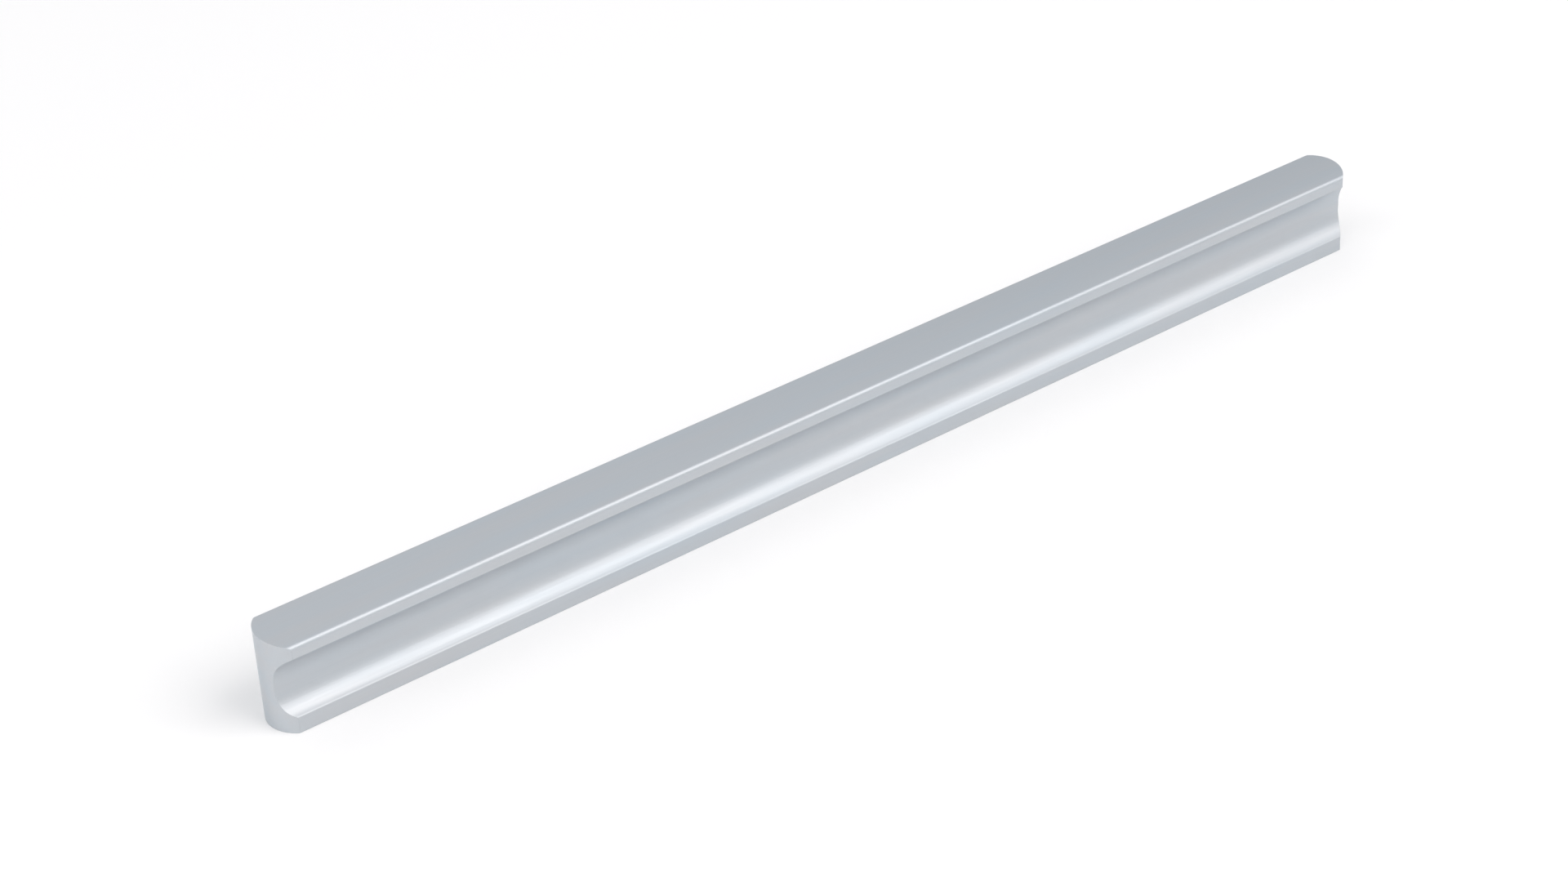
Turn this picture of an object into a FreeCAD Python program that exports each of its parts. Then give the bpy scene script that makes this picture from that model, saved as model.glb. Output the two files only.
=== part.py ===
import FreeCAD, Part
import math
import os
import Sketcher
from FreeCAD import Vector

# Cabinet pull, one piece: a bar sawn from an extruded aluminium section, with its ends
# milled to arcs and two tapped blind holes in the face that meets the cabinet.
# X runs along the bar, Z points away from the cabinet front, and the finger groove faces -Y.
# The origin is the middle of the mounting face. All sizes are in millimetres.

driving_sizes = [
    # along the bar: the two fixing holes, and the bar beyond each of them
    ("hole_spacing", 320.0),
    ("end_overhang", 37.5),
    # from back face to lip
    ("overall_depth", 16.8),
    # up the front, from the mounting face: foot, lower scoop, flat web, upper scoop, lip
    ("foot_height", 4.8),
    ("foot_setback", 0.4),
    ("lower_scoop_radius", 8.5),
    ("web_flat", 2.1),
    ("upper_scoop_radius", 9.0),
    ("lip_height", 3.55),
    ("groove_depth", 4.8),
    # the crowned top, which is highest near the back edge and falls to the lip
    ("crown_radius", 65.0),
    ("crown_setback", 1.0),
    # radii that the section has along its whole length
    ("front_edge_radius", 1.3),
    ("back_edge_radius", 1.0),
    ("lip_edge_radius", 0.3),
    ("foot_edge_radius", 0.5),
    ("base_edge_radius", 0.25),
    # the milled ends: how far the middle of each stands beyond its corners, and its broken edge
    ("end_bulge", 4.6),
    ("end_edge_radius", 0.25),
    # M4 tapped holes: tapping drill, full drilled depth, and the chamfer at the mouth
    ("tapping_drill", 3.3),
    ("drilled_depth", 14.0),
    ("drill_point_angle", 118.0),
    ("mouth_chamfer", 0.4),
    ("mouth_angle", 90.0),
]

doc = FreeCAD.newDocument("cabinet_pull")
sheet = doc.addObject("Spreadsheet::Sheet", "sizes")
for row, (alias, value) in enumerate(driving_sizes, start=1):
    sheet.set("A%d" % row, alias)
    sheet.set("B%d" % row, str(value))
    sheet.setAlias("B%d" % row, alias)
doc.recompute()


def size(alias):
    return float(sheet.get(alias))


def origin_plane(body, role):
    return [item for item in body.Origin.OriginFeatures if item.Role == role][0]


def new_sketch(body, name, role):
    sketch = body.newObject("Sketcher::SketchObject", name)
    sketch.AttachmentSupport = [(origin_plane(body, role), "")]
    sketch.MapMode = "FlatFace"
    return sketch


def bind(sketch, name, rule, expression):
    # one named dimension of a sketch, driven by the sheet
    index = sketch.addConstraint(rule)
    sketch.renameConstraint(index, name)
    sketch.setExpression("Constraints." + name, expression)


def line(x1, y1, x2, y2):
    return Part.LineSegment(Vector(x1, y1, 0), Vector(x2, y2, 0))


def arc(centre_x, centre_y, radius, start_angle, end_angle):
    circle = Part.Circle(Vector(centre_x, centre_y, 0), Vector(0, 0, 1), radius)
    return Part.ArcOfCircle(circle, start_angle, end_angle)


def edges_where(feature, test):
    # names of the feature's edges that pass the test
    return ["Edge%d" % number for number, edge in enumerate(feature.Shape.Edges, start=1)
            if test(edge)]


def add_fillet(body, name, base, edge_names, expression):
    fillet = body.newObject("PartDesign::Fillet", name)
    fillet.Base = (base, edge_names)
    fillet.setExpression("Radius", expression)
    doc.recompute()
    return fillet


# Points of a sketch's geometry, and the sketch's own axes, as its constraints count them
START, END, MIDDLE = range(1, 4)
X_AXIS, Y_AXIS = range(-1, -3, -1)
ORIGIN = (X_AXIS, START)

body = doc.addObject("PartDesign::Body", "pull_bar")
body.Label = "pull_bar"

# Corners of the section, which are also the starting places of its sketch
half_depth = size("overall_depth") / 2
web = -half_depth + size("groove_depth")
foot_front = -half_depth + size("foot_setback")
lower_sweep = math.acos(1 - (web - foot_front) / size("lower_scoop_radius"))
upper_sweep = math.acos(1 - size("groove_depth") / size("upper_scoop_radius"))
web_bottom = size("foot_height") + size("lower_scoop_radius") * math.sin(lower_sweep)
web_top = web_bottom + size("web_flat")
lip_bottom = web_top + size("upper_scoop_radius") * math.sin(upper_sweep)
lip_top = lip_bottom + size("lip_height")
crown_y = half_depth - size("crown_setback")
crown_front = math.acos((-half_depth - crown_y) / size("crown_radius"))
crown_back = math.acos((half_depth - crown_y) / size("crown_radius"))
crown_z = lip_top - size("crown_radius") * math.sin(crown_front)
back_top = crown_z + size("crown_radius") * math.sin(crown_back)

# The extruded section, seen from +X: sketch x is the bar's Y and sketch y its Z
section = new_sketch(body, "section", "YZ_Plane")
base, back, crown, lip, upper_scoop, web_face, lower_scoop, foot = range(8)
section.addGeometry([
    line(foot_front, 0, half_depth, 0),
    line(half_depth, 0, half_depth, back_top),
    arc(crown_y, crown_z, size("crown_radius"), crown_back, crown_front),
    line(-half_depth, lip_top, -half_depth, lip_bottom),
    arc(web - size("upper_scoop_radius"), web_top, size("upper_scoop_radius"), 0, upper_sweep),
    line(web, web_top, web, web_bottom),
    arc(web - size("lower_scoop_radius"), web_bottom, size("lower_scoop_radius"), -lower_sweep, 0),
    line(foot_front, size("foot_height"), foot_front, 0),
])
section.addConstraint([
    Sketcher.Constraint("Coincident", base, END, back, START),
    Sketcher.Constraint("Coincident", back, END, crown, START),
    Sketcher.Constraint("Coincident", crown, END, lip, START),
    Sketcher.Constraint("Coincident", lip, END, upper_scoop, END),
    Sketcher.Constraint("Tangent", upper_scoop, START, web_face, START),
    Sketcher.Constraint("Tangent", lower_scoop, END, web_face, END),
    Sketcher.Constraint("Coincident", lower_scoop, START, foot, START),
    Sketcher.Constraint("Coincident", foot, END, base, START),
    Sketcher.Constraint("PointOnObject", base, START, X_AXIS),
    Sketcher.Constraint("Horizontal", base),
    Sketcher.Constraint("Vertical", back),
    Sketcher.Constraint("Vertical", lip),
    Sketcher.Constraint("Vertical", web_face),
    Sketcher.Constraint("Vertical", foot),
])
bind(section, "back_place",
     Sketcher.Constraint("DistanceX", *ORIGIN, base, END, half_depth),
     "sizes.overall_depth / 2")
bind(section, "lip_place",
     Sketcher.Constraint("DistanceX", lip, START, *ORIGIN, half_depth),
     "sizes.overall_depth / 2")
bind(section, "foot_height",
     Sketcher.Constraint("DistanceY", foot, END, foot, START, size("foot_height")),
     "sizes.foot_height")
bind(section, "foot_setback",
     Sketcher.Constraint("DistanceX", lip, END, foot, START, size("foot_setback")),
     "sizes.foot_setback")
bind(section, "lower_scoop_radius",
     Sketcher.Constraint("Radius", lower_scoop, size("lower_scoop_radius")),
     "sizes.lower_scoop_radius")
bind(section, "web_flat",
     Sketcher.Constraint("DistanceY", web_face, END, web_face, START, size("web_flat")),
     "sizes.web_flat")
bind(section, "upper_scoop_radius",
     Sketcher.Constraint("Radius", upper_scoop, size("upper_scoop_radius")),
     "sizes.upper_scoop_radius")
bind(section, "groove_depth",
     Sketcher.Constraint("DistanceX", lip, END, web_face, START, size("groove_depth")),
     "sizes.groove_depth")
bind(section, "lip_height",
     Sketcher.Constraint("DistanceY", lip, END, lip, START, size("lip_height")),
     "sizes.lip_height")
bind(section, "crown_radius",
     Sketcher.Constraint("Radius", crown, size("crown_radius")),
     "sizes.crown_radius")
bind(section, "crown_setback",
     Sketcher.Constraint("DistanceX", crown, MIDDLE, base, END, size("crown_setback")),
     "sizes.crown_setback")
doc.recompute()

# The extrusion, sawn to length
extrusion = body.newObject("PartDesign::Pad", "extrusion")
extrusion.Profile = section
extrusion.SideType = "Symmetric"
extrusion.setExpression("Length", "sizes.hole_spacing + 2 * sizes.end_overhang")
doc.recompute()


def long_edges(feature, y, z):
    # the edge that runs along the whole bar through this corner of the section
    def at_corner(edge):
        middle = edge.CenterOfMass
        along = edge.BoundBox.XLength > size("hole_spacing")
        return along and math.hypot(middle.y - y, middle.z - z) < 0.01
    return edges_where(feature, at_corner)


front_edge = add_fillet(body, "front_edge", extrusion,
                        long_edges(extrusion, -half_depth, lip_top),
                        "sizes.front_edge_radius")
back_edge = add_fillet(body, "back_edge", front_edge,
                       long_edges(front_edge, half_depth, back_top),
                       "sizes.back_edge_radius")
lip_edge = add_fillet(body, "lip_edge", back_edge,
                      long_edges(back_edge, -half_depth, lip_bottom),
                      "sizes.lip_edge_radius")
foot_edge = add_fillet(body, "foot_edge", lip_edge,
                       long_edges(lip_edge, foot_front, size("foot_height")),
                       "sizes.foot_edge_radius")
base_edges = add_fillet(body, "base_edges", foot_edge,
                        long_edges(foot_edge, foot_front, 0) + long_edges(foot_edge, half_depth, 0),
                        "sizes.base_edge_radius")

# The path of the end cutter, seen from above: an arc through the tip of the bar, closed
# outside the metal by half the bar's depth all round
tip = size("hole_spacing") / 2 + size("end_overhang")
corner = tip - size("end_bulge")
end_radius = (half_depth ** 2 + size("end_bulge") ** 2) / (2 * size("end_bulge"))
end_sweep = math.atan2(half_depth, end_radius - size("end_bulge"))
end_cut = new_sketch(body, "end_cut", "XY_Plane")
end_arc, back_step, back_side, far_side, front_side, front_step, tip_point = range(7)
end_cut.addGeometry([
    arc(tip - end_radius, 0, end_radius, -end_sweep, end_sweep),
    line(corner, half_depth, corner, 2 * half_depth),
    line(corner, 2 * half_depth, tip + half_depth, 2 * half_depth),
    line(tip + half_depth, 2 * half_depth, tip + half_depth, -2 * half_depth),
    line(tip + half_depth, -2 * half_depth, corner, -2 * half_depth),
    line(corner, -2 * half_depth, corner, -half_depth),
])
end_cut.addGeometry(Part.Point(Vector(tip, 0, 0)), True)
end_cut.addConstraint([
    Sketcher.Constraint("Coincident", end_arc, END, back_step, START),
    Sketcher.Constraint("Coincident", back_step, END, back_side, START),
    Sketcher.Constraint("Coincident", back_side, END, far_side, START),
    Sketcher.Constraint("Coincident", far_side, END, front_side, START),
    Sketcher.Constraint("Coincident", front_side, END, front_step, START),
    Sketcher.Constraint("Coincident", front_step, END, end_arc, START),
    Sketcher.Constraint("Vertical", back_step),
    Sketcher.Constraint("Horizontal", back_side),
    Sketcher.Constraint("Horizontal", front_side),
    Sketcher.Constraint("Vertical", front_step),
    Sketcher.Constraint("PointOnObject", end_arc, MIDDLE, X_AXIS),
    Sketcher.Constraint("Vertical", end_arc, START, end_arc, END),
    Sketcher.Constraint("Symmetric", far_side, START, far_side, END, X_AXIS),
    Sketcher.Constraint("PointOnObject", tip_point, START, X_AXIS),
    Sketcher.Constraint("PointOnObject", tip_point, START, end_arc),
])
bind(end_cut, "tip_place",
     Sketcher.Constraint("DistanceX", *ORIGIN, tip_point, START, tip),
     "sizes.hole_spacing / 2 + sizes.end_overhang")
bind(end_cut, "end_bulge",
     Sketcher.Constraint("DistanceX", end_arc, END, tip_point, START, size("end_bulge")),
     "sizes.end_bulge")
bind(end_cut, "corner_place",
     Sketcher.Constraint("DistanceY", tip_point, START, end_arc, END, half_depth),
     "sizes.overall_depth / 2")
bind(end_cut, "side_clearance",
     Sketcher.Constraint("DistanceY", back_step, START, back_step, END, half_depth),
     "sizes.overall_depth / 2")
bind(end_cut, "far_clearance",
     Sketcher.Constraint("DistanceX", tip_point, START, far_side, START, half_depth),
     "sizes.overall_depth / 2")
doc.recompute()

# Both ends are milled alike, so one is the mirror of the other
milled_end = body.newObject("PartDesign::Pocket", "milled_end")
milled_end.Profile = end_cut
milled_end.Type = "ThroughAll"
milled_end.SideType = "Symmetric"
doc.recompute()
both_ends = body.newObject("PartDesign::Mirrored", "both_ends")
both_ends.Originals = [milled_end]
both_ends.MirrorPlane = (origin_plane(body, "YZ_Plane"), [""])
body.Tip = both_ends
doc.recompute()


def on_milled_end(edge):
    # every edge of a milled end lies between that end's corners and its tip
    box = edge.BoundBox
    return max(box.XMin, -box.XMax) > corner - 0.01


broken_ends = add_fillet(body, "broken_ends", both_ends, edges_where(both_ends, on_milled_end),
                         "sizes.end_edge_radius")

# Two blind holes on one line, in the middle of the metal behind the groove
hole_places = new_sketch(body, "hole_places", "XY_Plane")
hole_places.MapReversed = True
near_hole, far_hole = range(2)
hole_line = half_depth - (size("overall_depth") - size("groove_depth")) / 2
for side in (-1, 1):
    centre = Vector(side * size("hole_spacing") / 2, hole_line, 0)
    hole_places.addGeometry(Part.Circle(centre, Vector(0, 0, 1), size("tapping_drill") / 2))
hole_places.addConstraint([
    Sketcher.Constraint("Symmetric", near_hole, MIDDLE, far_hole, MIDDLE, Y_AXIS),
    Sketcher.Constraint("Equal", near_hole, far_hole),
])
bind(hole_places, "hole_spacing",
     Sketcher.Constraint("DistanceX", near_hole, MIDDLE, far_hole, MIDDLE, size("hole_spacing")),
     "sizes.hole_spacing")
bind(hole_places, "hole_line",
     Sketcher.Constraint("DistanceY", *ORIGIN, near_hole, MIDDLE, hole_line),
     "sizes.overall_depth / 2 - (sizes.overall_depth - sizes.groove_depth) / 2")
bind(hole_places, "tapping_drill",
     Sketcher.Constraint("Diameter", near_hole, size("tapping_drill")),
     "sizes.tapping_drill")
doc.recompute()
drilling = body.newObject("PartDesign::Hole", "drilling")
drilling.Profile = hole_places
doc.recompute()
drilling.DepthType = "Dimension"
drilling.DrillPoint = "Angled"
drilling.DrillForDepth = False
drilling.HoleCutType = "Countersink"
drilling.HoleCutCustomValues = True
drilling.setExpression("Diameter", "sizes.tapping_drill")
drilling.setExpression("Depth", "sizes.drilled_depth")
drilling.setExpression("DrillPointAngle", "sizes.drill_point_angle")
drilling.setExpression("HoleCutDiameter", "sizes.tapping_drill + 2 * sizes.mouth_chamfer")
drilling.setExpression("HoleCutCountersinkAngle", "sizes.mouth_angle")
doc.recompute()

# Every cut has to take metal away, and no object may be left failed
for cut, before in ((milled_end, base_edges), (both_ends, milled_end), (drilling, broken_ends)):
    taken = before.Shape.Volume - cut.Shape.Volume
    print("%s takes %.1f mm3" % (cut.Name, taken))
    if taken <= 0:
        raise RuntimeError(cut.Name + " takes nothing away")
for item in doc.Objects:
    if "Invalid" in item.State or "Error" in item.State:
        raise RuntimeError(item.Name + " is " + ", ".join(item.State))
for sketch in (section, end_cut, hole_places):
    if not sketch.FullyConstrained:
        raise RuntimeError(sketch.Name + " isn't fully constrained")
if body.Shape.isNull() or not body.Shape.isValid() or len(body.Shape.Solids) != 1:
    raise RuntimeError(body.Label + " isn't one valid solid")

box = body.Shape.optimalBoundingBox(False, False)
print("%s: %.2f x %.2f x %.2f mm, %.0f mm3" % (body.Label, box.XLength, box.YLength,
                                              box.ZLength, body.Shape.Volume))
os.makedirs("parts", exist_ok=True)
body.Shape.exportStep("parts/" + body.Label + ".step")
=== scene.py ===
import math
import bmesh
import bpy
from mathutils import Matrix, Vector


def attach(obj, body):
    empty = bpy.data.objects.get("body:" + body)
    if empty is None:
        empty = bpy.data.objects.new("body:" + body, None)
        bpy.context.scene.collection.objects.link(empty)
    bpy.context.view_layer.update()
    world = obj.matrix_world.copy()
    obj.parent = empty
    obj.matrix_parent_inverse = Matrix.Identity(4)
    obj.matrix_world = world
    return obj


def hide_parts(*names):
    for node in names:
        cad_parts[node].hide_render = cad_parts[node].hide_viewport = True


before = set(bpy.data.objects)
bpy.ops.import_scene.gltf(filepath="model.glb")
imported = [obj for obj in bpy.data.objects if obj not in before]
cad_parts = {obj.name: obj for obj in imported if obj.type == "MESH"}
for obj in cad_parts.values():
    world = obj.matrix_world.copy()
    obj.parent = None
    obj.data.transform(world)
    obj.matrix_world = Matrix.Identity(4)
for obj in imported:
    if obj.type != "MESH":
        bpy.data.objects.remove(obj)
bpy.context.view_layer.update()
mm = 0.001
print("frame loaded:", ", ".join(sorted(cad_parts)))

# how near two points are taken for one, in mm
weld = {
    "drawn": 0.0001,        # on the outline
    "stripped": 0.01,       # where the upright strips are cut
    "halved": 0.001,        # where the bar's two halves meet
    "turned": 0.001,        # on the drill and the tap
    "trimmed": 0.0001,      # where the tap is cut to length
    "finished": 0.0002,     # on the finished bar
}


def allOf(bm):
    return bm.verts[:] + bm.edges[:] + bm.faces[:]


def only(kind, geom):
    return [item for item in geom if isinstance(item, kind)]


def openEdges(bm):
    return sum(not edge.is_manifold for edge in bm.edges)


def finishMesh(bm, name):
    # a smooth-shaded object at the origin
    for face in bm.faces:
        face.smooth = True
    mesh = bpy.data.meshes.new(name)
    bm.to_mesh(mesh)
    bm.free()
    piece = bpy.data.objects.new(name, mesh)
    bpy.context.scene.collection.objects.link(piece)
    return piece


# the bar in mm, as in its own drawing:
# y is from the middle of the bar towards its back, z from the mounting face up
bar = {
    "length": 395.0,
    "depth": 16.8,
    "footHeight": 4.8,
    "footSetback": 0.4,
    "lowerScoop": 8.5,      # radii of the finger groove's two arcs
    "upperScoop": 9.0,
    "webFlat": 2.1,         # the flat between them
    "grooveDepth": 4.8,
    "lipHeight": 3.55,
    "crownRadius": 65.0,
    "crownSetback": 1.0,    # of the crown's highest line, from the back
    "frontEdge": 1.3,       # radii of the rounded edges
    "backEdge": 1.0,
    "lipEdge": 0.3,
    "footEdge": 0.5,
    "baseEdge": 0.25,
    "endBulge": 4.6,        # how far the milled ends bow out
    "endEdge": 0.25,
    "endEdgeSteps": 3,
    "endStrips": 18,        # upright strips that the bowed end is made of
    "crownStep": 1.0,       # degrees between two points of an arc
    "scoopStep": 3.0,
    "frontEdgeStep": 6.0,
    "edgeStep": 9.0,
    "fewestSteps": 3,       # on the shortest arc
    "creaseAngle": 40.0,    # edges sharper than this stay crisp
}


def lineTo(bm, start, y, z):
    end = bm.verts.new((0, y * mm, z * mm))
    bm.edges.new((start, end))
    return end


def arcTo(bm, start, centre, degrees, stepDegrees):
    # swings the last point of the outline about a centre
    steps = max(bar["fewestSteps"], round(abs(degrees) / stepDegrees))
    swung = bmesh.ops.spin(
        bm, geom=[start], cent=(0, centre[0] * mm, centre[1] * mm), axis=(1, 0, 0),
        angle=math.radians(degrees), steps=steps, use_duplicate=False)
    return only(bmesh.types.BMVert, swung["geom_last"])[0]


def direction(start, end):
    return math.degrees(math.atan2(end[1] - start[1], end[0] - start[0]))


def besideCircle(y, centre, reach, side):
    # the point at this y that is a reach away from the centre, above it or below it
    return (y, centre[1] + side * math.sqrt(reach ** 2 - (y - centre[0]) ** 2))


def drawSection(bm, b):
    # the outline is drawn with the pen never lifted: base, back, crown, lip, groove and foot
    half = b["depth"] / 2
    web = -half + b["grooveDepth"]
    footFront = -half + b["footSetback"]
    lowerRise = math.sqrt(b["lowerScoop"] ** 2 - (b["lowerScoop"] - web + footFront) ** 2)
    upperRise = math.sqrt(b["upperScoop"] ** 2 - (b["upperScoop"] - b["grooveDepth"]) ** 2)
    webBottom = b["footHeight"] + lowerRise
    webTop = webBottom + b["webFlat"]
    lipTop = webTop + upperRise + b["lipHeight"]
    crownY = half - b["crownSetback"]
    crownZ = lipTop - math.sqrt(b["crownRadius"] ** 2 - (half + crownY) ** 2)

    # centres of the three large arcs
    crown = (crownY, crownZ)
    upper = (web - b["upperScoop"], webTop)
    lower = (web - b["lowerScoop"], webBottom)

    # centres of the small edge radii, each touching its two neighbours
    backEdge = besideCircle(half - b["backEdge"], crown, b["crownRadius"] - b["backEdge"], 1)
    frontEdge = besideCircle(-half + b["frontEdge"], crown, b["crownRadius"] - b["frontEdge"], 1)
    lipEdge = besideCircle(-half + b["lipEdge"], upper, b["upperScoop"] + b["lipEdge"], 1)
    footEdge = besideCircle(footFront + b["footEdge"], lower, b["lowerScoop"] + b["footEdge"], -1)
    backBase = (half - b["baseEdge"], b["baseEdge"])
    footBase = (footFront + b["baseEdge"], b["baseEdge"])

    first = bm.verts.new((0, footBase[0] * mm, 0))
    pen = lineTo(bm, first, backBase[0], 0)
    pen = arcTo(bm, pen, backBase, 90, b["edgeStep"])
    pen = lineTo(bm, pen, half, backEdge[1])
    onCrown = direction(crown, backEdge)
    offCrown = direction(crown, frontEdge)
    pen = arcTo(bm, pen, backEdge, onCrown, b["edgeStep"])
    pen = arcTo(bm, pen, crown, offCrown - onCrown, b["crownStep"])
    pen = arcTo(bm, pen, frontEdge, 180 - offCrown, b["frontEdgeStep"])
    pen = lineTo(bm, pen, -half, lipEdge[1])
    pen = arcTo(bm, pen, lipEdge, direction(lipEdge, upper) + 180, b["edgeStep"])
    pen = arcTo(bm, pen, upper, -direction(upper, lipEdge), b["scoopStep"])
    pen = lineTo(bm, pen, web, webBottom)
    pen = arcTo(bm, pen, lower, direction(lower, footEdge), b["scoopStep"])
    pen = arcTo(bm, pen, footEdge, 180 - direction(footEdge, lower), b["edgeStep"])
    pen = lineTo(bm, pen, footFront, footBase[1])
    arcTo(bm, pen, footBase, 90, b["edgeStep"])
    bmesh.ops.remove_doubles(bm, verts=bm.verts[:], dist=weld["drawn"] * mm)


def endReach(b, y):
    # how far the milled end reaches at this place across the bar
    half = b["depth"] / 2
    radius = (half ** 2 + b["endBulge"] ** 2) / (2 * b["endBulge"])
    return b["length"] / 2 - radius + math.sqrt(radius ** 2 - y ** 2)


def makeBar(b):
    bm = bmesh.new()
    drawSection(bm, b)
    bmesh.ops.edgeloop_fill(bm, edges=bm.edges[:])

    # upright strips, so that the end can be bent to its arc
    for strip in range(1, b["endStrips"]):
        y = b["depth"] * (strip / b["endStrips"] - 0.5)
        bmesh.ops.bisect_plane(bm, geom=allOf(bm), dist=weld["stripped"] * mm,
                               plane_co=(0, y * mm, 0), plane_no=(0, 1, 0))
    drawn = bmesh.ops.extrude_face_region(bm, geom=bm.faces[:])
    for vert in only(bmesh.types.BMVert, drawn["geom"]):
        vert.co.x = endReach(b, vert.co.y / mm) * mm

    # the rim of the milled end is broken
    farFaces = set(only(bmesh.types.BMFace, drawn["geom"]))
    rim = [edge for edge in bm.edges if len(edge.link_faces) == 2
           and (edge.link_faces[0] in farFaces) != (edge.link_faces[1] in farFaces)]
    bmesh.ops.bevel(bm, geom=rim, offset=b["endEdge"] * mm, offset_type="OFFSET",
                    segments=b["endEdgeSteps"], profile=0.5, affect="EDGES",
                    clamp_overlap=True, material=-1)

    # the other half is the mirror of this one, so the faces between the two go
    nearMiddle = weld["halved"] * mm
    middle = [face for face in bm.faces if all(abs(vert.co.x) < nearMiddle for vert in face.verts)]
    bmesh.ops.delete(bm, geom=middle, context="FACES")
    bmesh.ops.mirror(bm, geom=allOf(bm), merge_dist=nearMiddle, axis="X")
    bmesh.ops.recalc_face_normals(bm, faces=bm.faces[:])
    print("bar mesh: %d faces, %d open edges" % (len(bm.faces), openEdges(bm)))
    return finishMesh(bm, "pullBar")


# the two blind M4 holes underneath, in mm
hole = {
    "spacing": 320.0,
    "line": 2.4,            # from the middle of the bar towards its back
    "drilled": 3.3,
    "depth": 14.0,
    "pointAngle": 118.0,
    "mouth": 4.1,           # across the 90 degree countersink
    "major": 4.0,           # across the thread
    "pitch": 0.7,
    "threadAngle": 60.0,
    "crestShare": 1 / 8,    # flat of the thread's crest, as a share of the pitch
    "threadDepth": 11.5,
    "sides": 36,
    "drillStart": 1.0,      # the drill begins this far outside the face
    "coreGap": 0.1,         # the tap's core clears the drilled wall, so that only the thread cuts
    "spareTurns": 4,        # of thread, wound past both its ends and trimmed off
    "turnsOutside": 2.5,    # where the winding begins, outside the face
}


def spinOutline(outline, angle, steps, rise=0.0):
    # turns an outline of radius and height, in mm, about an upright axis, and raises it as it turns
    bm = bmesh.new()
    pen = bm.verts.new((outline[0][0] * mm, 0, outline[0][1] * mm))
    for radius, height in outline[1:]:
        following = bm.verts.new((radius * mm, 0, height * mm))
        bm.edges.new((pen, following))
        pen = following
    bmesh.ops.spin(bm, geom=bm.verts[:] + bm.edges[:], cent=(0, 0, 0), axis=(0, 0, 1),
                   angle=angle, steps=steps, dvec=(0, 0, rise * mm / steps),
                   use_merge=rise == 0.0, use_duplicate=False)
    bmesh.ops.remove_doubles(bm, verts=bm.verts[:], dist=weld["turned"] * mm)
    return bm


def makeDrill(h):
    # countersink, straight wall and point, all in one turned shape
    start = h["drillStart"]
    radius = h["drilled"] / 2
    chamfer = h["mouth"] / 2 - radius
    point = radius / math.tan(math.radians(h["pointAngle"] / 2))
    outline = [(0, -start), (radius + chamfer + start, -start), (radius, chamfer),
               (radius, h["depth"]), (0, h["depth"] + point)]
    return spinOutline(outline, math.radians(360), h["sides"])


def makeTap(h):
    # one turn of the thread is drawn, wound up the hole and cut to length
    core = h["drilled"] / 2 - h["coreGap"]
    major = h["major"] / 2
    flank = (major - core) * math.tan(math.radians(h["threadAngle"] / 2))
    crest = h["pitch"] * h["crestShare"]
    gap = h["pitch"] - crest - 2 * flank
    outline = [(core, 0), (core, gap), (major, gap + flank), (major, gap + flank + crest),
               (core, h["pitch"])]
    turns = math.ceil(h["threadDepth"] / h["pitch"]) + h["spareTurns"]
    bm = spinOutline(outline, math.radians(360 * turns), h["sides"] * turns, h["pitch"] * turns)
    below = -h["turnsOutside"] * h["pitch"] * mm
    bmesh.ops.translate(bm, verts=bm.verts[:], vec=(0, 0, below))
    for height, side in ((-h["pitch"], -1), (h["threadDepth"], 1)):
        bmesh.ops.bisect_plane(bm, geom=allOf(bm), dist=weld["trimmed"] * mm,
                               plane_co=(0, 0, height * mm), plane_no=(0, 0, side),
                               clear_outer=True)
    bmesh.ops.holes_fill(bm, edges=[edge for edge in bm.edges if edge.is_boundary], sides=0)
    return bm


def cutHoles(piece, makeCutter, h):
    # one cutter goes into each hole, and both are gone afterwards
    bm = makeCutter(h)
    left = bm.verts[:]
    copied = bmesh.ops.duplicate(bm, geom=allOf(bm))
    right = only(bmesh.types.BMVert, copied["geom"])
    for verts, side in ((left, -1), (right, 1)):
        place = (side * h["spacing"] / 2 * mm, h["line"] * mm, 0)
        bmesh.ops.translate(bm, verts=verts, vec=place)
    bmesh.ops.recalc_face_normals(bm, faces=bm.faces[:])
    cutter = finishMesh(bm, "cutter")
    cut = piece.modifiers.new("cut", "BOOLEAN")
    cut.operation = "DIFFERENCE"
    cut.solver = "EXACT"
    cut.object = cutter
    evaluated = piece.evaluated_get(bpy.context.evaluated_depsgraph_get())
    whole = piece.data
    piece.data = bpy.data.meshes.new_from_object(evaluated)
    piece.data.name = whole.name
    piece.modifiers.remove(cut)
    for used in (whole, cutter.data):       # with its mesh the cutter goes too
        bpy.data.meshes.remove(used)


def creaseEdges(piece, degrees):
    # drilled and threaded edges stay crisp, the rounded ones stay smooth
    bm = bmesh.new()
    bm.from_mesh(piece.data)
    bmesh.ops.remove_doubles(bm, verts=bm.verts[:], dist=weld["finished"] * mm)
    for edge in bm.edges:
        edge.smooth = edge.calc_face_angle(0) < math.radians(degrees)
    for face in bm.faces:
        face.smooth = True
    bm.to_mesh(piece.data)
    print("bar finished: %d faces, %d open edges" % (len(bm.faces), openEdges(bm)))
    bm.free()


pullBar = makeBar(bar)
cutHoles(pullBar, makeDrill, hole)
cutHoles(pullBar, makeTap, hole)
creaseEdges(pullBar, bar["creaseAngle"])


def toLinear(hexColour):
    channels = [int(hexColour[i:i + 2], 16) / 255 for i in (1, 3, 5)]
    linear = [c / 12.92 if c <= 0.04045 else ((c + 0.055) / 1.055) ** 2.4 for c in channels]
    return (*linear, 1.0)


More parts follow.
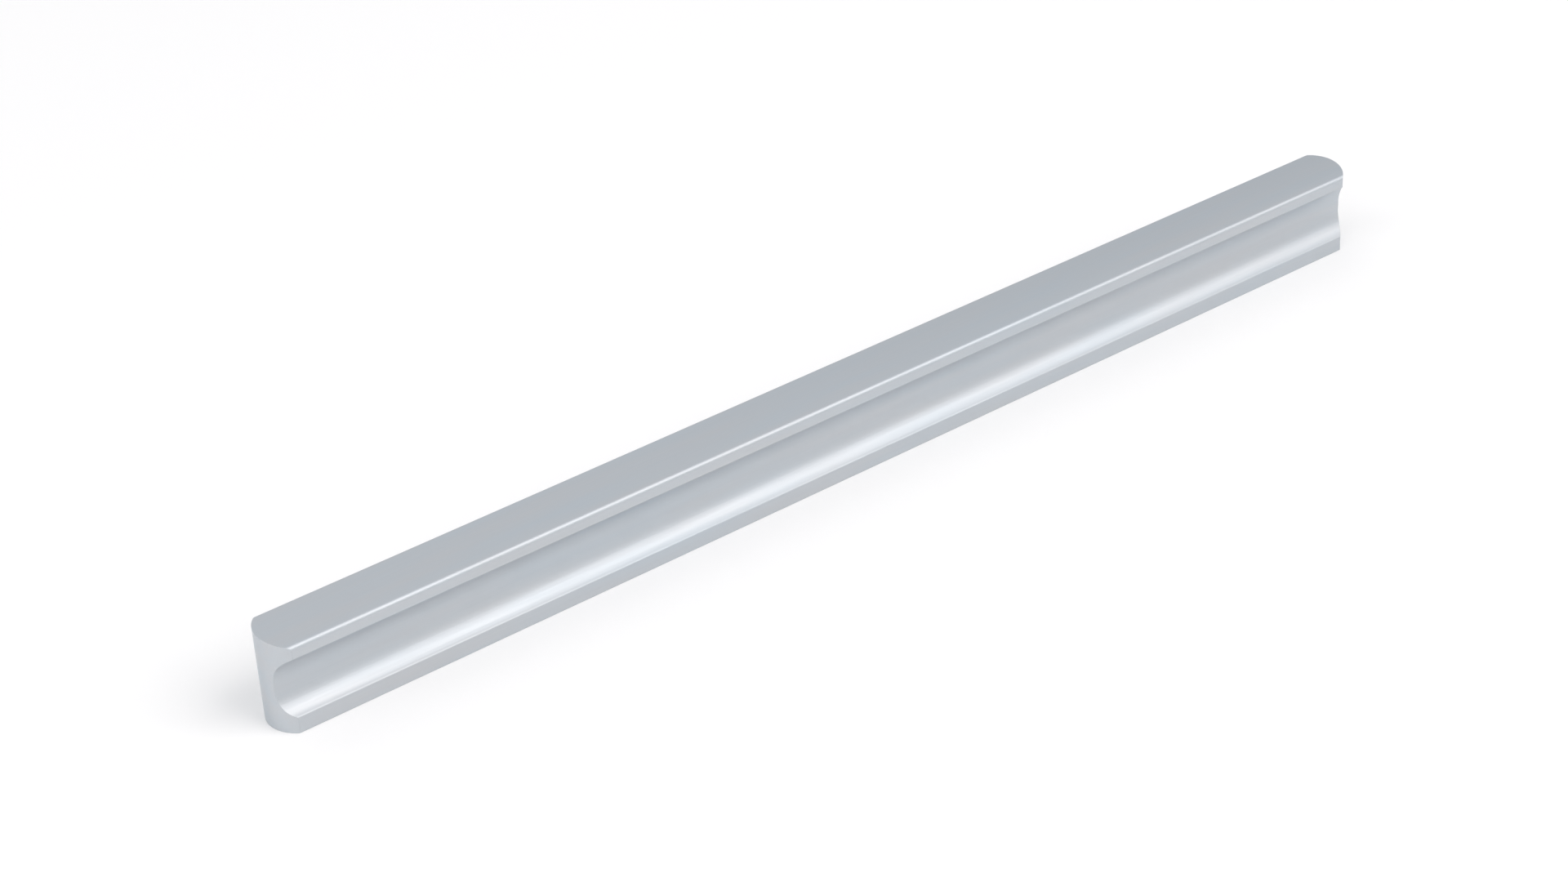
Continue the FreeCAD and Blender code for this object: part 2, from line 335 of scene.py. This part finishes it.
def addNode(tree, kind, inputs=None, **settings):
    # one node with its settings, and for each input a value or the output that feeds it
    node = tree.nodes.new(kind)
    for name, value in settings.items():
        setattr(node, name, value)
    for name, value in (inputs or {}).items():
        if isinstance(value, bpy.types.NodeSocket):
            tree.links.new(value, node.inputs[name])
        else:
            node.inputs[name].default_value = value
    return node


def newMaterial(name):
    material = bpy.data.materials.new(name)
    material.use_nodes = True
    material.node_tree.nodes.clear()
    return material


# Extruded aluminium, etched matt and then anodised clear. The etch blurs what it mirrors into
# a soft sheen, the clear film turns it slightly blue, and both drift a little along the bar,
# as the extrusion does. Sizes and heights are in mm.
anodised = {
    "colour": "#cccdcf",
    "drifted": "#c4cdd4",       # the same film where it is a touch thicker
    "driftLength": 55.0,        # along the bar
    "driftWidth": 5.0,          # across it
    "roughness": 0.55,
    "roughnessSwing": 0.05,
    "lineSpacing": 0.45,        # between die lines: real ones are about 0.1, too fine to show
    "lineLength": 30.0,
    "lineHeight": 0.002,
    "grain": 0.5,               # of the etch: the real one is about 0.05, too fine to show
    "grainHeight": 0.0025,
    "cutSpacing": 0.35,         # between the cutter's marks: real ones are too fine to show
    "cutAlong": 0.7,            # the same along the bar, where the end bows
    "cutLength": 25.0,          # up the end
    "cutHeight": 0.0012,
    "noiseRange": (0.3, 0.7),   # where most of a noise pattern lies
    "endFacing": (0.3, 0.5),    # how far a face looks along the bar, from sides to milled ends
}


def makeAnodised(a):
    material = newMaterial("satin anodised aluminium")
    tree = material.node_tree
    place = addNode(tree, "ShaderNodeTexCoord")

    def pattern(along, across, up, detail=2.0):
        # noise whose grain has these sizes
        scale = tuple(1000 / size for size in (along, across, up))
        scaled = addNode(tree, "ShaderNodeMapping", {"Vector": place.outputs["Object"], "Scale": scale})
        return addNode(tree, "ShaderNodeTexNoise", {
            "Vector": scaled.outputs["Vector"], "Scale": 1.0, "Detail": detail})

    drift = pattern(a["driftLength"], a["driftWidth"], a["driftWidth"])
    colour = addNode(tree, "ShaderNodeMix", {
        "Factor": drift.outputs["Fac"], "A": toLinear(a["colour"]), "B": toLinear(a["drifted"])},
        data_type="RGBA")
    lines = pattern(a["lineLength"], a["lineSpacing"], a["lineSpacing"], detail=3.0)
    grain = pattern(a["grain"], a["grain"], a["grain"])
    cuts = pattern(a["cutAlong"], a["cutSpacing"], a["cutLength"])

    # the milled ends are the only faces that look along the bar
    facing = addNode(tree, "ShaderNodeSeparateXYZ", {"Vector": place.outputs["Normal"]})
    alongBar = addNode(tree, "ShaderNodeMath", {0: facing.outputs["X"]}, operation="ABSOLUTE")
    onEnd = addNode(tree, "ShaderNodeMapRange", {
        "Value": alongBar.outputs[0], "From Min": a["endFacing"][0], "From Max": a["endFacing"][1]})

    # die lines on the drawn faces, the cutter's marks on the ends, and the etch's grain on both
    lineHeight = addNode(tree, "ShaderNodeMath", {
        0: lines.outputs["Fac"], 1: a["lineHeight"]}, operation="MULTIPLY")
    cutHeight = addNode(tree, "ShaderNodeMath", {
        0: cuts.outputs["Fac"], 1: a["cutHeight"]}, operation="MULTIPLY")
    worked = addNode(tree, "ShaderNodeMix", {
        "Factor": onEnd.outputs["Result"], "A": lineHeight.outputs[0], "B": cutHeight.outputs[0]},
        data_type="FLOAT")
    height = addNode(tree, "ShaderNodeMath", {
        0: grain.outputs["Fac"], 1: a["grainHeight"], 2: worked.outputs[0]}, operation="MULTIPLY_ADD")
    bump = addNode(tree, "ShaderNodeBump", {"Height": height.outputs[0], "Distance": mm})

    # the die lines are a little smoother and rougher in turn
    lowest = a["roughness"] - a["roughnessSwing"] / 2
    roughness = addNode(tree, "ShaderNodeMapRange", {
        "Value": lines.outputs["Fac"],
        "From Min": a["noiseRange"][0], "From Max": a["noiseRange"][1],
        "To Min": lowest, "To Max": lowest + a["roughnessSwing"]})
    shader = addNode(tree, "ShaderNodeBsdfPrincipled", {
        "Base Color": colour.outputs["Result"], "Metallic": 1.0,
        "Roughness": roughness.outputs["Result"], "Normal": bump.outputs["Normal"]})
    addNode(tree, "ShaderNodeOutputMaterial", {"Surface": shader.outputs["BSDF"]})
    return material


pullBar.data.materials.append(makeAnodised(anodised))
weighted = pullBar.modifiers.new("faceNormals", "WEIGHTED_NORMAL")
weighted.mode = "FACE_AREA"
weighted.keep_sharp = True
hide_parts("pull_bar")
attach(pullBar, "root")
print("bar anodised")

# the studio: a white floor, a dim surround and three soft square lamps
studio = {
    "floorSize": 3.0,
    "floorDrop": 0.02,          # mm below the mounting face, so that the two never share a plane
    "floorColour": "#f7f7f7",
    "floorRoughness": 0.9,
    "floorLift": 0.025,         # added to what is seen of the floor, so that it is white
    "surround": 0.447,
    "surroundRise": (0.04, 0.08, 0.22),     # it is brighter behind and overhead
    "surroundColour": "#f8fbff",
    "lampDistance": 3.5,
    "lampColour": "#fffaf7",
}

# the main lamp is in front on the right, a wider and dimmer one on the left, a faint one behind
lamps = {
    "frontLamp": {"direction": (0.336, -0.607, 0.719), "size": 2.84, "radiance": 2.62},
    "leftLamp": {"direction": (-0.84, -0.15, 0.53), "size": 3.6, "radiance": 1.3},
    "backLamp": {"direction": (0.1, 0.8, 0.6), "size": 3.6, "radiance": 0.28},
}


def makeFloor(s):
    bm = bmesh.new()
    bmesh.ops.create_grid(bm, x_segments=1, y_segments=1, size=s["floorSize"] / 2)
    bmesh.ops.translate(bm, verts=bm.verts[:], vec=(0, 0, -s["floorDrop"] * mm))
    floor = finishMesh(bm, "floor")
    material = newMaterial("matt white paper")
    tree = material.node_tree

    # the lift is only for what the camera and the metal see of the floor, and lights nothing
    path = addNode(tree, "ShaderNodeLightPath")
    seen = addNode(tree, "ShaderNodeMath", {
        0: path.outputs["Is Camera Ray"], 1: path.outputs["Is Glossy Ray"]}, operation="MAXIMUM")
    seen = addNode(tree, "ShaderNodeMath", {
        0: seen.outputs[0], 1: path.outputs["Is Transmission Ray"]}, operation="MAXIMUM")
    lift = addNode(tree, "ShaderNodeMath", {
        0: seen.outputs[0], 1: s["floorLift"]}, operation="MULTIPLY")
    shader = addNode(tree, "ShaderNodeBsdfPrincipled", {
        "Base Color": toLinear(s["floorColour"]), "Roughness": s["floorRoughness"],
        "Specular IOR Level": 0.0, "Emission Color": (1, 1, 1, 1),
        "Emission Strength": lift.outputs[0]})
    addNode(tree, "ShaderNodeOutputMaterial", {"Surface": shader.outputs["BSDF"]})
    floor.data.materials.append(material)


def makeSurround(s):
    world = bpy.data.worlds.new("studio")
    world.use_nodes = True
    tree = world.node_tree
    tree.nodes.clear()
    sky = addNode(tree, "ShaderNodeTexCoord")
    rise = addNode(tree, "ShaderNodeVectorMath", {
        0: sky.outputs["Generated"], 1: s["surroundRise"]}, operation="DOT_PRODUCT")
    strength = addNode(tree, "ShaderNodeMath", {
        0: rise.outputs["Value"], 1: s["surround"]}, operation="ADD")
    light = addNode(tree, "ShaderNodeBackground", {
        "Color": toLinear(s["surroundColour"]), "Strength": strength.outputs["Value"]})

    # beyond the floor the camera sees plain white
    white = addNode(tree, "ShaderNodeBackground", {"Color": (1, 1, 1, 1), "Strength": 1.0})
    path = addNode(tree, "ShaderNodeLightPath")
    shown = addNode(tree, "ShaderNodeMixShader", {
        0: path.outputs["Is Camera Ray"], 1: light.outputs["Background"],
        2: white.outputs["Background"]})
    addNode(tree, "ShaderNodeOutputWorld", {"Surface": shown.outputs["Shader"]})
    bpy.context.scene.world = world


def makeLamp(name, direction, size, radiance):
    data = bpy.data.lights.new(name, "AREA")
    data.shape = "SQUARE"
    data.size = size
    data.energy = radiance * math.pi * size ** 2
    data.color = toLinear(studio["lampColour"])[:3]
    lamp = bpy.data.objects.new(name, data)
    aim = Vector(direction).normalized()
    lamp.location = aim * studio["lampDistance"]
    lamp.rotation_euler = aim.to_track_quat("Z", "Y").to_euler()
    bpy.context.scene.collection.objects.link(lamp)


makeFloor(studio)
makeSurround(studio)
for name, settings in lamps.items():
    makeLamp(name, **settings)

# a long lens from the front left, looking down on the bar
view = {
    "place": (-0.51217, -0.62642, 0.47504),
    "turn": (59.8528, 2.6226, -39.2811),    # degrees
    "lens": 74.925,
    "farthest": 50.0,
}
camera = bpy.data.objects.new("camera", bpy.data.cameras.new("camera"))
camera.data.lens = view["lens"]
camera.data.clip_end = view["farthest"]
camera.location = view["place"]
camera.rotation_euler = [math.radians(angle) for angle in view["turn"]]
bpy.context.scene.collection.objects.link(camera)
bpy.context.scene.camera = camera
bpy.context.scene.view_settings.view_transform = "Standard"
print("studio and camera ready")
